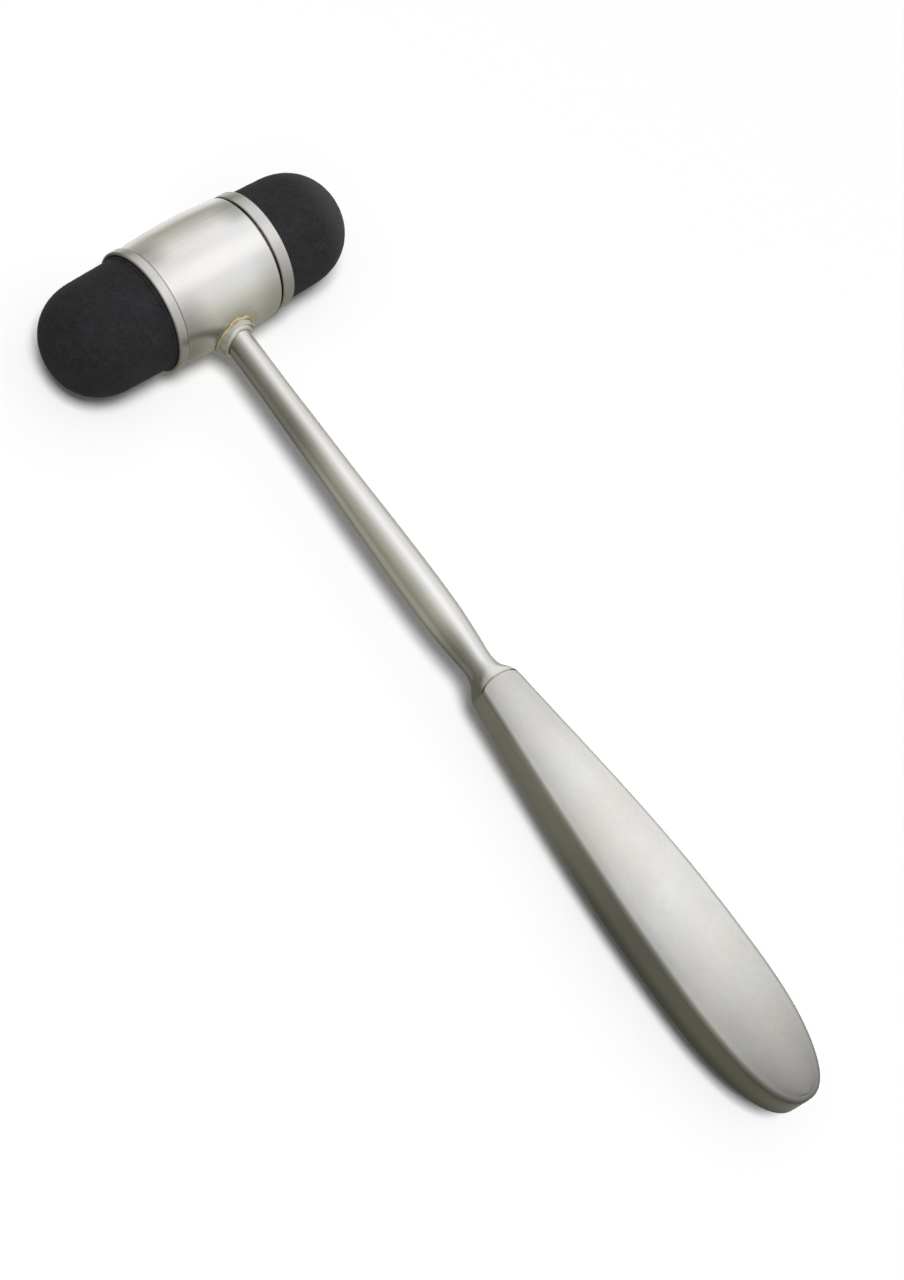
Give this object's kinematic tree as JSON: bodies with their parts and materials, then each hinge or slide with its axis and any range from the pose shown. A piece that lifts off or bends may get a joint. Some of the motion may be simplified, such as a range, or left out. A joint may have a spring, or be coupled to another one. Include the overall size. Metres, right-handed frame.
{
  "type": "reflex hammer",
  "caption": "Percussion hammer with a barrel-shaped metal head, a domed rubber buffer in each end, a slim swelling shaft and a flat rounded hollow handle.",
  "frame": {"origin": "bottom centre of the bounding box: under the hammer, level with the lowest line of the barrel", "axes": "+X from the larger buffer to the smaller one along the head's axis, +Y from the handle towards the head along the shaft, +Z square to the flat of the handle"},
  "size_m": [0.0804, 0.245, 0.031],
  "materials": {
    "barrel_steel": "fine satin, brighter than the handle",
    "ring_steel": "fine satin",
    "buffer_rubber": "matt moulded charcoal rubber",
    "shaft_steel": "satin, drawn lengthwise",
    "braze_metal": "smooth brazed bead",
    "handle_steel": "soft satin, bead-blasted look"
  },
  "bodies": {
    "hammer": {"head_barrel": "barrel_steel", "large_end_ring": "ring_steel", "small_end_ring": "ring_steel", "shaft_collar": "shaft_steel", "braze_fillet": "braze_metal", "shaft": "shaft_steel", "handle_body": "handle_steel", "handle_face_plate": "handle_steel"},
    "large_buffer_plug": {"large_buffer": "buffer_rubber"},
    "small_buffer_plug": {"small_buffer": "buffer_rubber"}
  },
  "joints": [
    {"name": "large_buffer_pull", "type": "slide", "parent": "hammer", "child": "large_buffer_plug", "axis": [-1, 0, 0], "range_m": [0, 0.03]},
    {"name": "small_buffer_pull", "type": "slide", "parent": "hammer", "child": "small_buffer_plug", "axis": [1, 0, 0], "range_m": [0, 0.03]}
  ]
}
